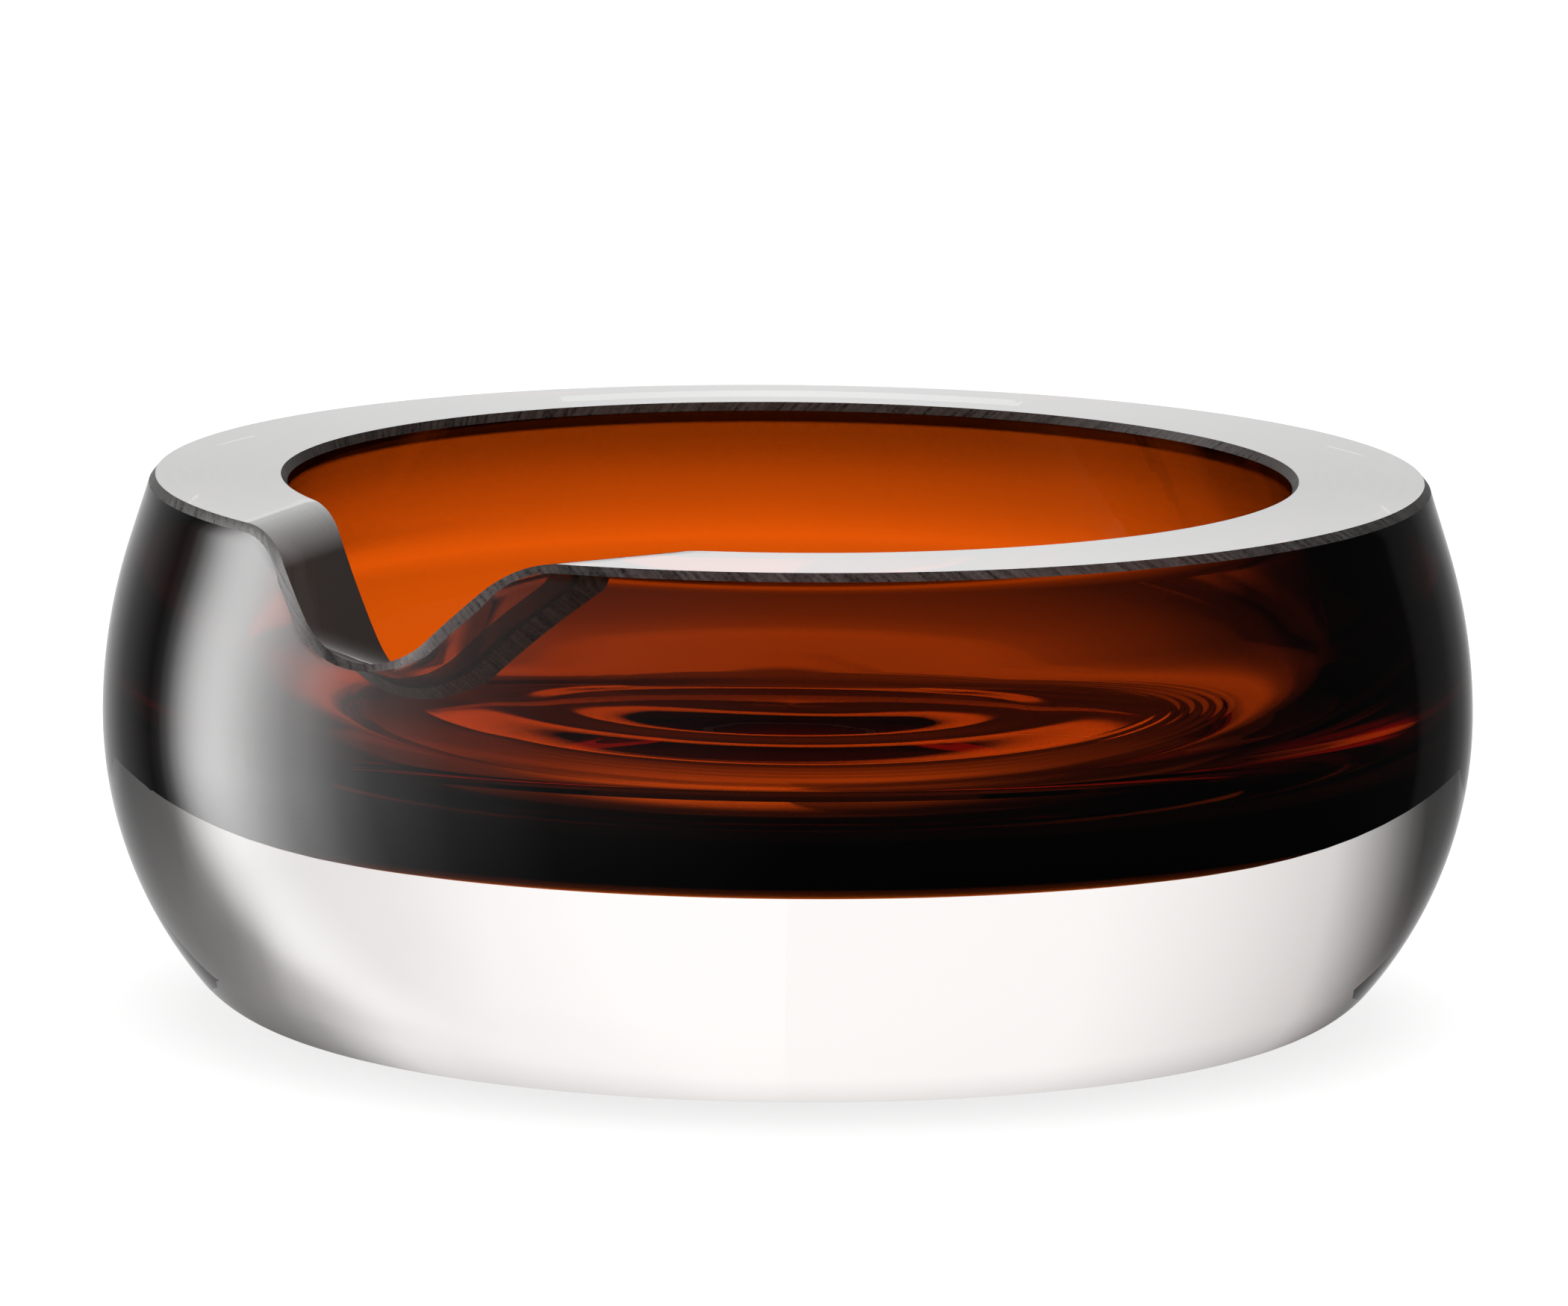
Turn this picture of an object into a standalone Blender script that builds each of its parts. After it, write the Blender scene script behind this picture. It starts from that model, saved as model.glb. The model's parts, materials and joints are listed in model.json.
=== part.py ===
"""Cased art glass bowl with a rest notch in its rim.

Two gathers of glass make the bowl: an amber cup, and the clear casing blown round it with a thick clear
base. The rim is cut flat through both and its edges are ground to a narrow bevel. One round notch, which
slopes down towards the inside, is cut through both layers. Each layer is a loft of wall sections taken round
the axis, so the bevel follows the lip of the notch as it does on the rim. The front of the bowl faces -Y and
the base is at z = 0.
"""

import math

import bmesh
import bpy

MM = 0.001

# Outer form: two arcs that meet at the belly, a straight land under the rim and a round base edge
HEIGHT = 62.9 * MM
MAX_RADIUS = 80.0 * MM
BELLY_HEIGHT = 35.1 * MM
UPPER_ARC = 65.5 * MM
LOWER_ARC = 47.8 * MM
LAND_START = 55.0 * MM
BASE_EDGE_ARC = 12.9 * MM

# Hollow: a flat floor, a round corner up to the widest point, and a wall that leans in to the mouth along an
# arc and then a straight land, about parallel to the outer face
FLOOR_HEIGHT = 31.4 * MM
HOLLOW_RADIUS = 63.15 * MM
HOLLOW_CORNER = 12.0 * MM
HOLLOW_LAND_START = 48.5 * MM
HOLLOW_LEAN = math.radians(16.0)

# Seam between the amber cup and the clear casing: an egg-shaped cup with a small flat under it
SEAM_BOTTOM = 24.1 * MM
SEAM_FLAT_RADIUS = 30.0 * MM
SEAM_RADIUS = 69.0 * MM
SEAM_CORNER_HEIGHT = 23.2 * MM
SEAM_MOUTH_RADIUS = 63.8 * MM
SEAM_GAP = 0.3 * MM

# Ground bevel along both edges of the rim and both lips of the notch, measured from its foot on the wall
BEVEL_ACROSS = 0.75 * MM
BEVEL_DOWN = 0.95 * MM

# Rest notch: a round bottom with straight flanks and round shoulders
NOTCH_AZIMUTH = math.radians(-128.4)
NOTCH_DEPTH = 12.85 * MM
NOTCH_DEPTH_RADIUS = 77.7 * MM
NOTCH_SLOPE = math.radians(19.5)
NOTCH_FLANK = math.radians(49.5)
NOTCH_BOTTOM_ARC = 12.0 * MM
NOTCH_SHOULDER_ARC = 9.3 * MM

# Sections: how far the notch reaches either way round the axis, and the steps taken there and elsewhere
NOTCH_REACH = math.radians(28.0)
NOTCH_STEPS = 28
PLAIN_STEPS = 50
CUT_FLOOR = 41.0 * MM
SEAM_CUT_FLOOR = 44.0 * MM
CUT_ROWS = 4
TOP_ROWS = 2


def arc_bulge(rise, drop):
    """Radius of an arc that starts upright and moves in by drop over a height of rise."""
    return (rise * rise + drop * drop) / (2 * drop)


HOLLOW_HEIGHT = FLOOR_HEIGHT + HOLLOW_CORNER
FLOOR_RADIUS = HOLLOW_RADIUS - HOLLOW_CORNER
HOLLOW_UPPER_ARC = (HOLLOW_LAND_START - HOLLOW_HEIGHT) / math.sin(HOLLOW_LEAN)
SEAM_HEIGHT = SEAM_BOTTOM + SEAM_CORNER_HEIGHT
SEAM_UPPER_ARC = arc_bulge(HEIGHT - SEAM_HEIGHT, SEAM_RADIUS - SEAM_MOUTH_RADIUS)
BASE_EDGE_TURN = math.asin((BELLY_HEIGHT - BASE_EDGE_ARC) / (LOWER_ARC - BASE_EDGE_ARC))
BASE_RADIUS = MAX_RADIUS - LOWER_ARC + (LOWER_ARC - BASE_EDGE_ARC) * math.cos(BASE_EDGE_TURN)


def on_arc(radius, arc, height):
    """Radius at a height above or below the point where an arc stands upright at the given radius."""
    return radius - arc + math.sqrt(arc * arc - height * height)


def outer_radius(z):
    """Outer face from the belly to the rim."""
    if z <= LAND_START:
        arc = UPPER_ARC if z > BELLY_HEIGHT else LOWER_ARC
        return on_arc(MAX_RADIUS, arc, z - BELLY_HEIGHT)
    lean = math.asin((LAND_START - BELLY_HEIGHT) / UPPER_ARC)
    return on_arc(MAX_RADIUS, UPPER_ARC, LAND_START - BELLY_HEIGHT) - (z - LAND_START) * math.tan(lean)


def hollow_radius(z):
    """Inner face from the corner of the floor to the mouth."""
    land = max(0.0, z - HOLLOW_LAND_START)
    arc = HOLLOW_UPPER_ARC if z > HOLLOW_HEIGHT else HOLLOW_CORNER
    return on_arc(HOLLOW_RADIUS, arc, z - land - HOLLOW_HEIGHT) - land * math.tan(HOLLOW_LEAN)


def seam_radius(z):
    """Face of the amber cup where the casing is fused to it."""
    if z > SEAM_HEIGHT:
        return on_arc(SEAM_RADIUS, SEAM_UPPER_ARC, z - SEAM_HEIGHT)
    reach = math.sqrt(1 - ((SEAM_HEIGHT - z) / SEAM_CORNER_HEIGHT) ** 2)
    return SEAM_FLAT_RADIUS + (SEAM_RADIUS - SEAM_FLAT_RADIUS) * reach


def pocket_radius(z):
    """Face of the casing that lies against the amber cup, a hair wider than the cup."""
    return seam_radius(z) + SEAM_GAP


def notch_depth(across, along):
    """Depth of the notch under the rim at a place across and along its axis, which points outwards."""
    if along <= 0:
        return 0.0
    deepest = NOTCH_DEPTH + (NOTCH_DEPTH_RADIUS - along) * math.tan(NOTCH_SLOPE)
    side = abs(across)
    turned = 1 - math.cos(NOTCH_FLANK)
    bottom_end = NOTCH_BOTTOM_ARC * math.sin(NOTCH_FLANK)
    flank_run = (deepest - (NOTCH_BOTTOM_ARC + NOTCH_SHOULDER_ARC) * turned) / math.tan(NOTCH_FLANK)
    shoulder_start = bottom_end + flank_run
    shoulder_end = shoulder_start + NOTCH_SHOULDER_ARC * math.sin(NOTCH_FLANK)
    if side < bottom_end:
        return deepest - NOTCH_BOTTOM_ARC + math.sqrt(NOTCH_BOTTOM_ARC**2 - side**2)
    if side < shoulder_start:
        return deepest - NOTCH_BOTTOM_ARC * turned - (side - bottom_end) * math.tan(NOTCH_FLANK)
    if side < shoulder_end:
        return NOTCH_SHOULDER_ARC - math.sqrt(NOTCH_SHOULDER_ARC**2 - (shoulder_end - side) ** 2)
    return 0.0


def top_height(radius, turn):
    """Height of the cut top of the wall at a radius, turned from the notch's axis by an angle."""
    return HEIGHT - notch_depth(radius * math.sin(turn), radius * math.cos(turn))


def wall_top(radius_at, turn):
    """Height at which a face of the wall meets the cut top."""
    low = CUT_FLOOR
    high = HEIGHT
    for _ in range(40):
        middle = (low + high) / 2
        if middle < top_height(radius_at(middle), turn):
            low = middle
        else:
            high = middle
    return high


def bevel_drop(radius, turn):
    """Height of the ground bevel, which is wider where the lip is steep."""
    step = math.radians(0.2)
    rise = top_height(radius, turn + step) - top_height(radius, turn - step)
    return BEVEL_DOWN * (1 + (rise / (2 * step * radius)) ** 2)


def spread(first, last, steps):
    """Evenly spaced values from first to last, both included."""
    return [first + (last - first) * i / steps for i in range(steps + 1)]


def upright_rows(radius_at, first, last, rows):
    """Points up or down a face between two heights."""
    return [(radius_at(z), z) for z in spread(first, last, rows)]


def top_rows(first, last, turn, rows):
    """Points across the cut top between two radii."""
    return [(radius, top_height(radius, turn)) for radius in spread(first, last, rows)]


def base_edge():
    """Points of the round base edge and the lower outer wall, upwards to the belly."""
    centre = (BASE_RADIUS, BASE_EDGE_ARC)
    edge = [
        (centre[0] + BASE_EDGE_ARC * math.cos(turn), centre[1] - BASE_EDGE_ARC * math.sin(turn))
        for turn in spread(math.pi / 2, BASE_EDGE_TURN, 4)
    ]
    lower = [
        (MAX_RADIUS - LOWER_ARC + LOWER_ARC * math.cos(turn), BELLY_HEIGHT - LOWER_ARC * math.sin(turn))
        for turn in spread(BASE_EDGE_TURN, 0, 5)
    ]
    return edge + lower[1:]


def floor_corner():
    """Points from the floor of the hollow up its round corner to where the notch may cut it."""
    last = math.asin((CUT_FLOOR - HOLLOW_HEIGHT) / HOLLOW_CORNER)
    return [
        (FLOOR_RADIUS + HOLLOW_CORNER * math.cos(turn), HOLLOW_HEIGHT + HOLLOW_CORNER * math.sin(turn))
        for turn in spread(-math.pi / 2, last, 5)
    ]


def seam_corner(gap):
    """Points of the seam from where the notch may cut it down to the flat under the cup."""
    first = math.asin((SEAM_HEIGHT - SEAM_CUT_FLOOR) / SEAM_CORNER_HEIGHT)
    wide = SEAM_RADIUS - SEAM_FLAT_RADIUS + gap
    tall = SEAM_CORNER_HEIGHT + gap
    return [
        (SEAM_FLAT_RADIUS + wide * math.cos(turn), SEAM_HEIGHT - tall * math.sin(turn))
        for turn in spread(first, math.pi / 2, 7)
    ]


def casing_section(turn):
    """Outline of the clear casing, from the edge of the base over the rim to the flat of its pocket."""
    lip = wall_top(outer_radius, turn)
    bevel_foot = lip - bevel_drop(outer_radius(lip), turn)
    pocket_top = wall_top(pocket_radius, turn)
    section = base_edge()
    section += [(outer_radius(CUT_FLOOR), CUT_FLOOR)]
    section += upright_rows(outer_radius, CUT_FLOOR, bevel_foot, CUT_ROWS)[1:]
    section += top_rows(outer_radius(bevel_foot) - BEVEL_ACROSS, pocket_radius(pocket_top), turn, TOP_ROWS)
    section += upright_rows(pocket_radius, pocket_top, SEAM_CUT_FLOOR, CUT_ROWS)[1:]
    return section + seam_corner(SEAM_GAP)[1:]


def lining_section(turn):
    """Outline of the amber cup, from the edge of its floor over the rim to the flat under it."""
    lip = wall_top(hollow_radius, turn)
    bevel_foot = lip - bevel_drop(hollow_radius(lip), turn)
    seam_top = wall_top(seam_radius, turn)
    section = floor_corner()
    section += upright_rows(hollow_radius, CUT_FLOOR, bevel_foot, CUT_ROWS)[1:]
    section += top_rows(hollow_radius(bevel_foot) + BEVEL_ACROSS, seam_radius(seam_top), turn, 1)
    section += upright_rows(seam_radius, seam_top, SEAM_CUT_FLOOR, CUT_ROWS)[1:]
    return section + seam_corner(0.0)[1:]


def section_turns():
    """Angles from the notch's axis at which sections are taken, closer together across the notch."""
    across_notch = spread(-NOTCH_REACH, NOTCH_REACH, NOTCH_STEPS)
    round_the_rest = spread(NOTCH_REACH, 2 * math.pi - NOTCH_REACH, PLAIN_STEPS)
    return across_notch + round_the_rest[1:-1]


def glass(name, colour, roughness):
    """Transparent glass of one colour."""
    material = bpy.data.materials.new(name)
    material.use_nodes = True
    shader = material.node_tree.nodes["Principled BSDF"]
    shader.inputs["Base Color"].default_value = (*colour, 1.0)
    shader.inputs["Roughness"].default_value = roughness
    shader.inputs["Metallic"].default_value = 0.0
    shader.inputs["IOR"].default_value = 1.5
    shader.inputs["Transmission Weight"].default_value = 1.0
    material.diffuse_color = (*colour, 1.0)
    return material


def loft_round_axis(name, section_at, material):
    """Lofts sections taken round the axis into one closed solid, with a flat cap on each end ring."""
    shape = bmesh.new()
    columns = []
    for turn in section_turns():
        azimuth = NOTCH_AZIMUTH + turn
        across = math.cos(azimuth)
        along = math.sin(azimuth)
        columns.append([shape.verts.new((r * across, r * along, z)) for r, z in section_at(turn)])
    for left, right in zip(columns, columns[1:] + columns[:1]):
        for row in range(len(left) - 1):
            shape.faces.new((left[row], right[row], right[row + 1], left[row + 1]))
    shape.faces.new([column[0] for column in columns])
    shape.faces.new([column[-1] for column in columns])
    bmesh.ops.recalc_face_normals(shape, faces=shape.faces)
    mesh = bpy.data.meshes.new(name)
    shape.to_mesh(mesh)
    shape.free()
    mesh.materials.append(material)
    mesh.shade_smooth()
    mesh.set_sharp_from_angle(angle=math.radians(25))
    bpy.context.collection.objects.link(bpy.data.objects.new(name, mesh))


def main():
    for old in list(bpy.data.objects):
        bpy.data.objects.remove(old)
    clear = glass("clear_glass", (0.93, 0.95, 0.95), 0.02)
    amber = glass("amber_glass", (0.50, 0.13, 0.02), 0.02)
    loft_round_axis("clear_casing", casing_section, clear)
    loft_round_axis("amber_lining", lining_section, amber)


main()
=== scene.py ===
"""Looks of the cased art glass bowl: fine glass surfaces over the CAD frame, on a white floor.

The studio is a brightness for each direction, with levels that are fitted to the camera of the photograph.
"""

import json
import math

import bmesh
import bpy
from mathutils import Matrix, Vector

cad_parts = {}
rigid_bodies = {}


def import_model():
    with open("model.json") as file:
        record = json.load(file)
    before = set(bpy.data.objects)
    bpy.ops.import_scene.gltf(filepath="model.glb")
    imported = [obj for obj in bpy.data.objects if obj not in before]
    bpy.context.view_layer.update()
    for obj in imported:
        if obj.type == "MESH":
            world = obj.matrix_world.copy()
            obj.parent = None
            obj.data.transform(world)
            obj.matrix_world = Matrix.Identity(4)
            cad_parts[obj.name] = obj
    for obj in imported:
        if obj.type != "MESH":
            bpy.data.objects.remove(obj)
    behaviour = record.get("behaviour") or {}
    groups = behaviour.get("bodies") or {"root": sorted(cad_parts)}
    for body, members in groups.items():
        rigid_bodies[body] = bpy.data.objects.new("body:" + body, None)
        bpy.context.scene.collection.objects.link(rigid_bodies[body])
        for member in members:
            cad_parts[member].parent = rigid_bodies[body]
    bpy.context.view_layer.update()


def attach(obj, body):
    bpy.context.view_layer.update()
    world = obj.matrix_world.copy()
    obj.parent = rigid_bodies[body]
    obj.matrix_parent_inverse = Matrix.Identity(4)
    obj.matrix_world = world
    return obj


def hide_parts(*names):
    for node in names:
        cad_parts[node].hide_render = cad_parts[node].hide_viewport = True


MM = 0.001

# Outer form
HEIGHT = 62.9 * MM
MAX_RADIUS = 80.0 * MM
BELLY_HEIGHT = 35.1 * MM
UPPER_ARC = 65.5 * MM
LOWER_ARC = 47.8 * MM
LAND_START = 55.0 * MM
BASE_EDGE_ARC = 12.9 * MM

# Hollow
FLOOR_HEIGHT = 31.4 * MM
HOLLOW_RADIUS = 63.15 * MM
HOLLOW_CORNER = 12.0 * MM
HOLLOW_LAND_START = 48.5 * MM
HOLLOW_LEAN = math.radians(16.0)

# Floor of the hollow: two low swells, as slopes in degrees at radii in millimetres, and fine rings
# near its edge
FLOOR_SLOPES = (
    (0, 0.0), (8, 0.0), (14, -2.5), (18, -3.7), (23, -3.4), (27, -2.3), (28.5, 1.5), (31, 2.0), (33, 0.0),
    (34, -2.0), (37, -4.3), (39.5, -5.0), (41.7, -5.5), (44.5, -6.4), (45.8, -4.0), (47, 1.0), (49, 3.0),
    (52, 2.5), (54.5, 0.0),
)
SWELL_EVEN = 0.95
SWELL_UNEVEN = 0.12
SWELL_HIGH_TURN = math.radians(20.0)
RING_PITCH = 1.75 * MM
RING_HEIGHT = 0.012 * MM
RING_RIGHT_HEIGHT = 0.065 * MM
RING_RIGHT_TURN = math.radians(122.0)
RING_RIGHT_FOCUS = 6
RING_START = 43.0 * MM
RING_FULL = 47.5 * MM
RING_FADE = 2.0 * MM
RIPPLE_EDGE = 54.5 * MM
FLOOR_CENTRE = 1.0 * MM
# How far the swells and rings wander, and the waves of that round the floor: count, share and phase
DRIFT = 1.2 * MM
DRIFT_WAVES = ((1, 0.6, 0.7), (2, 0.4, 2.1))
DRIFT_FULL_RADIUS = 20.0 * MM

# Seam between the amber cup and the clear casing
SEAM_BOTTOM = 24.1 * MM
SEAM_FLAT_RADIUS = 30.0 * MM
SEAM_RADIUS = 69.0 * MM
SEAM_CORNER_HEIGHT = 23.2 * MM
SEAM_MOUTH_RADIUS = 63.8 * MM
SKIN = 0.06 * MM
CORNER_SKIN = 0.7 * SKIN

# Ground bevel
BEVEL_ACROSS = 0.75 * MM
BEVEL_DOWN = 0.95 * MM

# Rest notch
NOTCH_AZIMUTH = math.radians(-128.4)
NOTCH_DEPTH = 12.85 * MM
NOTCH_DEPTH_RADIUS = 77.7 * MM
NOTCH_SLOPE = math.radians(19.5)
NOTCH_FLANK = math.radians(49.5)
NOTCH_BOTTOM_ARC = 12.0 * MM
NOTCH_SHOULDER_ARC = 9.3 * MM
NOTCH_REACH = math.radians(28.0)
CUT_FLOOR = 41.0 * MM
SEAM_CUT_FLOOR = 44.0 * MM

# Rows of faces along the sections, columns round the axis, and steps of the searches
BASE_EDGE_ROWS = 14
LOWER_WALL_ROWS = 18
BELLY_ROWS = 4
UPPER_WALL_ROWS = 16
RIM_ROWS = 12
HOLLOW_WALL_ROWS = 18
FLOOR_CORNER_ROWS = 14
FLOOR_RING_ROWS = 52
FLOOR_SWELL_ROWS = 48
CUP_RIM_ROWS = 6
SEAM_WALL_ROWS = 14
SEAM_CORNER_ROWS = 26
NOTCH_COLUMNS = 150
PLAIN_COLUMNS = 250
WALL_TOP_HALVINGS = 40
SLOPE_STEP = math.radians(0.2)
SHARP_ANGLE = math.radians(25.0)

# Sides of the amber cup, kept on its faces
SIDE = "side"
SEAM_SIDE = 0.0
RIM_SIDE = 0.5
HOLLOW_SIDE = 1.0

# Eased shading of the rolled base edge
EASE_START = math.radians(35.5)
EASE_LIMIT = math.radians(36.3)
EASE_HEIGHT = 8.0 * MM

# Clear glass, its polished rim and its ground bevels
BLACK = (0.0, 0.0, 0.0)
WHITE = (1.0, 1.0, 1.0)
GLASS_IOR = 1.5
CLOUD_SCALE = 14.0
CLOUD_DETAIL = 1.0
CLEAR_COOL = (1.0, 0.975, 0.965)
CLEAR_WARM = (1.0, 0.965, 0.945)
WAVE_SCALE = 36.0
WAVE_DEPTH = 0.02 * MM
RIM_HAZE_DARK = (0.78, 0.77, 0.76)
RIM_HAZE_LIGHT = (0.92, 0.91, 0.9)
# Painted shade: the cut faces of the notch are kept dark, giving way to the rim's haze over the heights of
# RIM_FLAT
NOTCH_PAINTED_SHADE = (0.1, 0.075, 0.065)
RIM_FLAT = ((HEIGHT / MM - 4.0, 0.0), (HEIGHT / MM - 0.4, 1.0))
RIM_ROUGHNESS = (0.004, 0.02)
RIM_TRANSMISSION = 0.6
RIM_RING_AROUND = 0.05
RIM_RING_AWAY = 1.6
RIM_RING_DETAIL = 1.5
RIM_RING_DEPTH = 0.0003 * MM
# Greys of the ground bevels, dark and light: their darkness is painted shade, deepest on the inner bevel,
# which faces the hollow
OUTER_BEVEL = ((0.03, 0.028, 0.027), (0.17, 0.16, 0.155))
INNER_BEVEL = ((0.02, 0.016, 0.014), (0.13, 0.11, 0.1))
BEVEL_ROUGHNESS = (0.25, 0.55)
BEVEL_TRANSMISSION = 0.5
SCRATCH_SLANT = 1.4
SCRATCH_PITCH = 1.3
SCRATCH_AWAY = 0.3
SCRATCH_DETAIL = 4.0
SCRATCH_DEPTH = 0.02 * MM
SCRATCH_STRENGTH = 0.6
GRIT_SCALE = 2600.0
GRIT_DETAIL = 3.0
GRIT_SHARE = 0.35
WEAR = ((0.36, 0.0), (0.66, 1.0))

# Amber: tints of one wall, of the seam, its lower fringe, its underside and the cut rim seen from outside,
# and shares of them by height in millimetres: painted shade towards the rim and the foot, painted light at the
# fringe
AMBER = (0.87, 0.12, 0.003)
SEAM_TINT = (0.95, 0.66, 0.52)
# Painted light: a thin orange band at the foot of the seam, over the heights of SEAM_FRINGE
FRINGE_PAINTED_LIGHT = (0.3, 0.08, 0.015)
UNDERSIDE_TINT = (1.0, 0.75, 0.45)
RIM_TINT = (0.012, 0.006, 0.004)
# Painted shade: the amber seen from the hollow darkens towards the rim, to a black band just under it
HOLLOW_PAINTED_SHADE = (
    (31.0, 1.0), (40.0, 0.85), (45.7, 0.57), (47.6, 0.41), (49.5, 0.3), (51.4, 0.226), (57.1, 0.079),
    (59.0, 0.05), (60.3, 0.045), (60.6, 0.0003), (61.9, 0.001),
)
# Painted shade: the seam tint, seen from outside, fades to black towards the foot of the cup
SEAM_PAINTED_SHADE = (
    (31.0, 0.0), (33.0, 0.004), (34.5, 0.03), (35.3, 0.15), (36.0, 0.5), (36.7, 0.9), (38.0, 1.0),
    (62, 1.0),
)
SEAM_FRINGE = ((24.1, 1.0), (24.4, 0.5), (24.6, 0.06), (24.9, 0.01), (25.5, 0.0))
SEAM_UNDERSIDE = ((24.13, 1.0), (24.2, 0.0))
ABSORB_COLOUR = (0.65, 0.53, 0.40)
ABSORB_DENSITY = 100.0

# Studio brightness by compass angle in degrees: 0 is straight behind the bowl, 90 is to its right
BACKDROP_LEFT = (
    (-180, 0.9), (-100, 0.95), (-86, 0.7), (-78, 0.08), (-62, 0.06), (-58, 0.13), (-54, 0.26),
    (-42, 0.77), (-18, 1.05), (20, 1.08),
)
# The right-hand edge of the backdrop at three elevations: 8.5, 14.5 and 20 degrees
BACKDROP_LOW = (
    (-20, 1.09), (10, 1.1), (18, 1.02), (42, 0.53), (54, 0.15), (74, 0.1), (84, 0.3), (125, 0.85),
    (140, 0.95), (200, 0.9),
)
BACKDROP_MIDDLE = (
    (-20, 1.09), (8, 1.1), (18, 1.01), (26, 0.8), (36, 0.71), (38.5, 0.62), (42, 0.36), (46, 0.25),
    (74, 0.1), (84, 0.3), (125, 0.85), (140, 0.95), (200, 0.9),
)
BACKDROP_HIGH = (
    (-20, 1.08), (4, 1.08), (22, 0.84), (27.5, 0.89), (30, 0.82), (37, 0.42), (42, 0.3), (50, 0.22),
    (74, 0.1), (84, 0.3), (125, 0.85), (140, 0.95), (200, 0.9),
)
# How the backdrop fades upwards, by elevation in degrees, and what is above it
BACKDROP_FADE = ((19.5, 1.0), (24, 0.8))
CEILING = 0.35
OVERHEAD = 1.3
# Share of light that was turned back inside the amber, and where that share applies
INNER_REFLECTION = 0.05
INNER_ANGLE = ((-125, 1.0), (-110, 0.3), (-78, 0.3), (-62, 1.0), (180, 1.0))
INNER_RISE = ((-52, 0), (-46, 1))
# The table by elevation in degrees, seen through two walls
TABLE_RISE = (
    (-90, 1.0), (-74, 1.0), (-68, 0.5), (-62, 0.2), (-52, 0.2), (-47, 0.5), (-39, 0.5), (-34, 0.32),
    (-30, 0.23), (-17, 0.09), (-12, 0.08), (-11, 0.2), (-10, 1.2), (-9, 1.6), (-6.5, 1.6), (-4.5, 1.4),
    (-3, 0.8), (0, 0.35), (8, 0.35),
)
# The same, as it is seen through the mouth and one wall
OPEN_RISE = (
    (-90, 0.9), (-40, 0.9), (-20, 1.0), (-12, 1.1), (-10, 1.35), (-9, 1.6), (-6.5, 1.6), (-3, 0.8),
    (0, 0.35), (8, 0.35),
)
OPEN_ANGLE = (
    (-180, 1.0), (0, 1.0), (4, 0.9), (8, 0.62), (12, 0.5), (20, 0.4), (50, 0.4), (70, 1.0), (180, 1.0),
)
# The pool of light on the table by compass angle, in order from the horizon to straight down
TABLE_LEVEL = (
    (-180, 1.0), (-60, 1.0), (-30, 0.6), (-12, 0.5), (-6.7, 0.65), (-2.5, 1.0), (2.5, 1.0), (4.7, 0.78),
    (6.7, 0.7), (11, 0.72), (16, 0.5), (20, 0.12), (24, 0.04), (51, 0.03), (60, 0.3), (72, 1.0),
    (180, 1.0),
)
TABLE_SHALLOW = (
    (-180, 1.0), (-62, 1.0), (-52, 0.6), (-33, 0.3), (-14, 0.3), (-10, 0.8), (-6, 1.0), (6, 1.0),
    (9, 0.7), (12, 0.25), (15, 0.06), (18, 0.015), (52, 0.015), (60, 0.3), (72, 1.0), (180, 1.0),
)
TABLE_STEEP = (
    (-180, 1.0), (-62, 1.0), (-52, 0.6), (-33, 0.45), (-20, 0.45), (-12, 0.6), (-6.7, 0.9), (2.5, 1.0),
    (7, 0.85), (12, 0.47), (15, 0.35), (19, 0.35), (22, 0.15), (26, 0.05), (52, 0.05), (60, 0.3),
    (72, 1.0), (180, 1.0),
)
TABLE_BELOW = ((-180, 0.9), (-8, 0.9), (3, 0.75), (8, 0.2), (60, 0.2), (80, 0.9), (180, 0.9))
# The softbox and the backdrop in reflections from outside, by compass angle and by elevation
MIRRORED = (
    (-180, 0.04), (-140, 0.15), (-122, 0.45), (-107, 1.1), (-100, 2.0), (-92, 3.75), (-88, 4.2),
    (-76, 7.6), (-71, 8.2), (-67, 7.5), (-63, 5.9), (-56, 1.9), (-52.7, 0.55), (-49, 0.11), (-45, 0.05),
    (-30, 0.2), (0, 0.8), (15, 0.31), (23, 0.15), (34, 0.06), (47.3, 0.05), (48.5, 0.02), (180, 0.04),
)
MIRROR_RISE = ((-60, 0.15), (-25, 0.6), (-10, 1.0), (28, 1.0), (36, 0.1), (60, 0.05))
# Backdrop in the flat rim, by compass angle and by elevation
RIM_ANGLE = ((-14, 0.0), (-8, 1.1), (-2, 1.12), (0, 1.25), (2, 1.12), (8, 1.1), (14, 0.0))
RIM_RISE = (
    (5.5, 0.0), (7.4, 0.8), (8.22, 1.0), (8.53, 0.9), (8.85, 1.1), (9.6, 1.0), (11, 0.25), (13, 0.0),
)
# Level that lights matt surfaces
AMBIENT = 0.5
# Elevations in degrees over which one level gives way to the next
LOW_TO_MIDDLE = ((8.5, 0), (14.5, 1))
MIDDLE_TO_HIGH = ((14.5, 0), (20, 1))
BACKDROP_TO_CEILING = ((24.5, 0), (31, 1))
TO_OVERHEAD = ((42, 0), (52, 1))
TABLE_TO_BACKDROP = ((1, 0), (6, 1))
LEVEL_TO_SHALLOW = ((-8, 1), (-3, 0))
SHALLOW_TO_STEEP = ((-13, 1), (-11, 0))
STEEP_TO_BELOW = ((-70, 1), (-50, 0))
OPEN_SIDES = ((-25, 0), (-14, 1))
# Counts of crossings and reflections that tell the ways of light apart
AMBER_CROSSINGS = 2.5
TWO_WALL_CROSSINGS = 4.5
ANY = 0.5

# Floor, lamp and light paths
STAGE_HALF = 40.0
STAGE_DROP = 0.2 * MM
STAGE_COLOUR = (0.45, 0.45, 0.45)
STAGE_GLOW = 0.79
LAMP_SIZE = 1.6
LAMP_ENERGY = 12.0
LAMP_PLACE = (0.0, 0.1, 1.6)
MAX_BOUNCES = 48
GLOSSY_BOUNCES = 16
TRANSPARENT_BOUNCES = 32

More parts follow.
